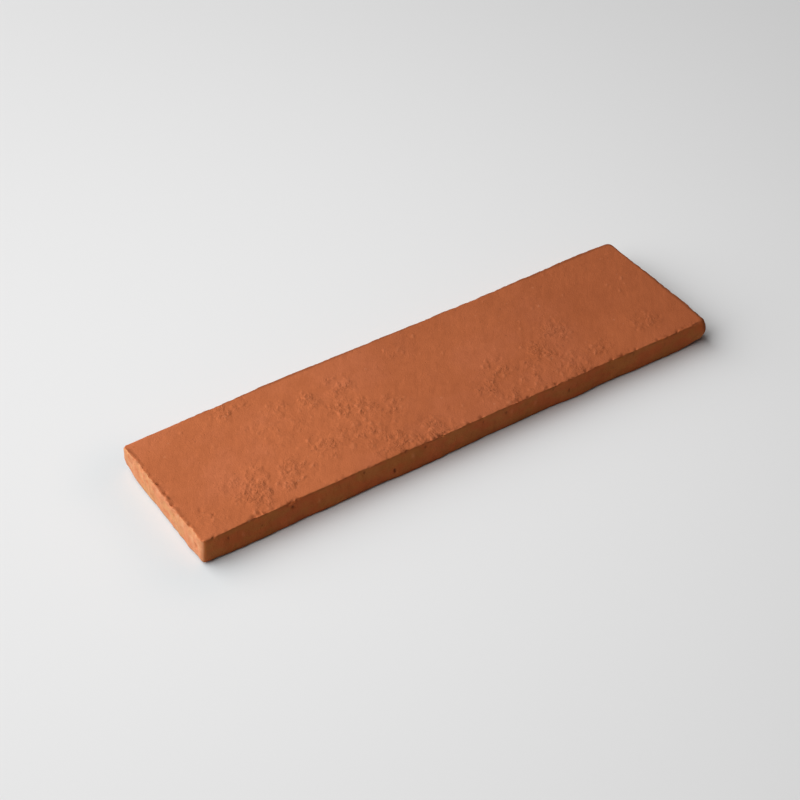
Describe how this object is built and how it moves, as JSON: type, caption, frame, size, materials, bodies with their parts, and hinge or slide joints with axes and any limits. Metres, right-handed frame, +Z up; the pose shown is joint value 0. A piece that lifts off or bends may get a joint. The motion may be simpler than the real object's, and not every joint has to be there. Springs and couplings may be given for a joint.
{
  "type": "terracotta tile",
  "caption": "Slim rectangular hand-moulded terracotta tile with lightly rounded corners and arrises and flat wear and bed faces.",
  "frame": {"origin": "centre of the bed face, the underside that the tile lies on", "axes": "+X along the tile's length, +Y across its width, +Z up through its thickness to the wear face"},
  "size_m": [0.3, 0.08, 0.015],
  "materials": {
    "fired_clay": "matte unglazed orange-brown terracotta with fine pits and scratches"
  },
  "bodies": {
    "root": {"terracotta_tile": "fired_clay"}
  },
  "joints": []
}
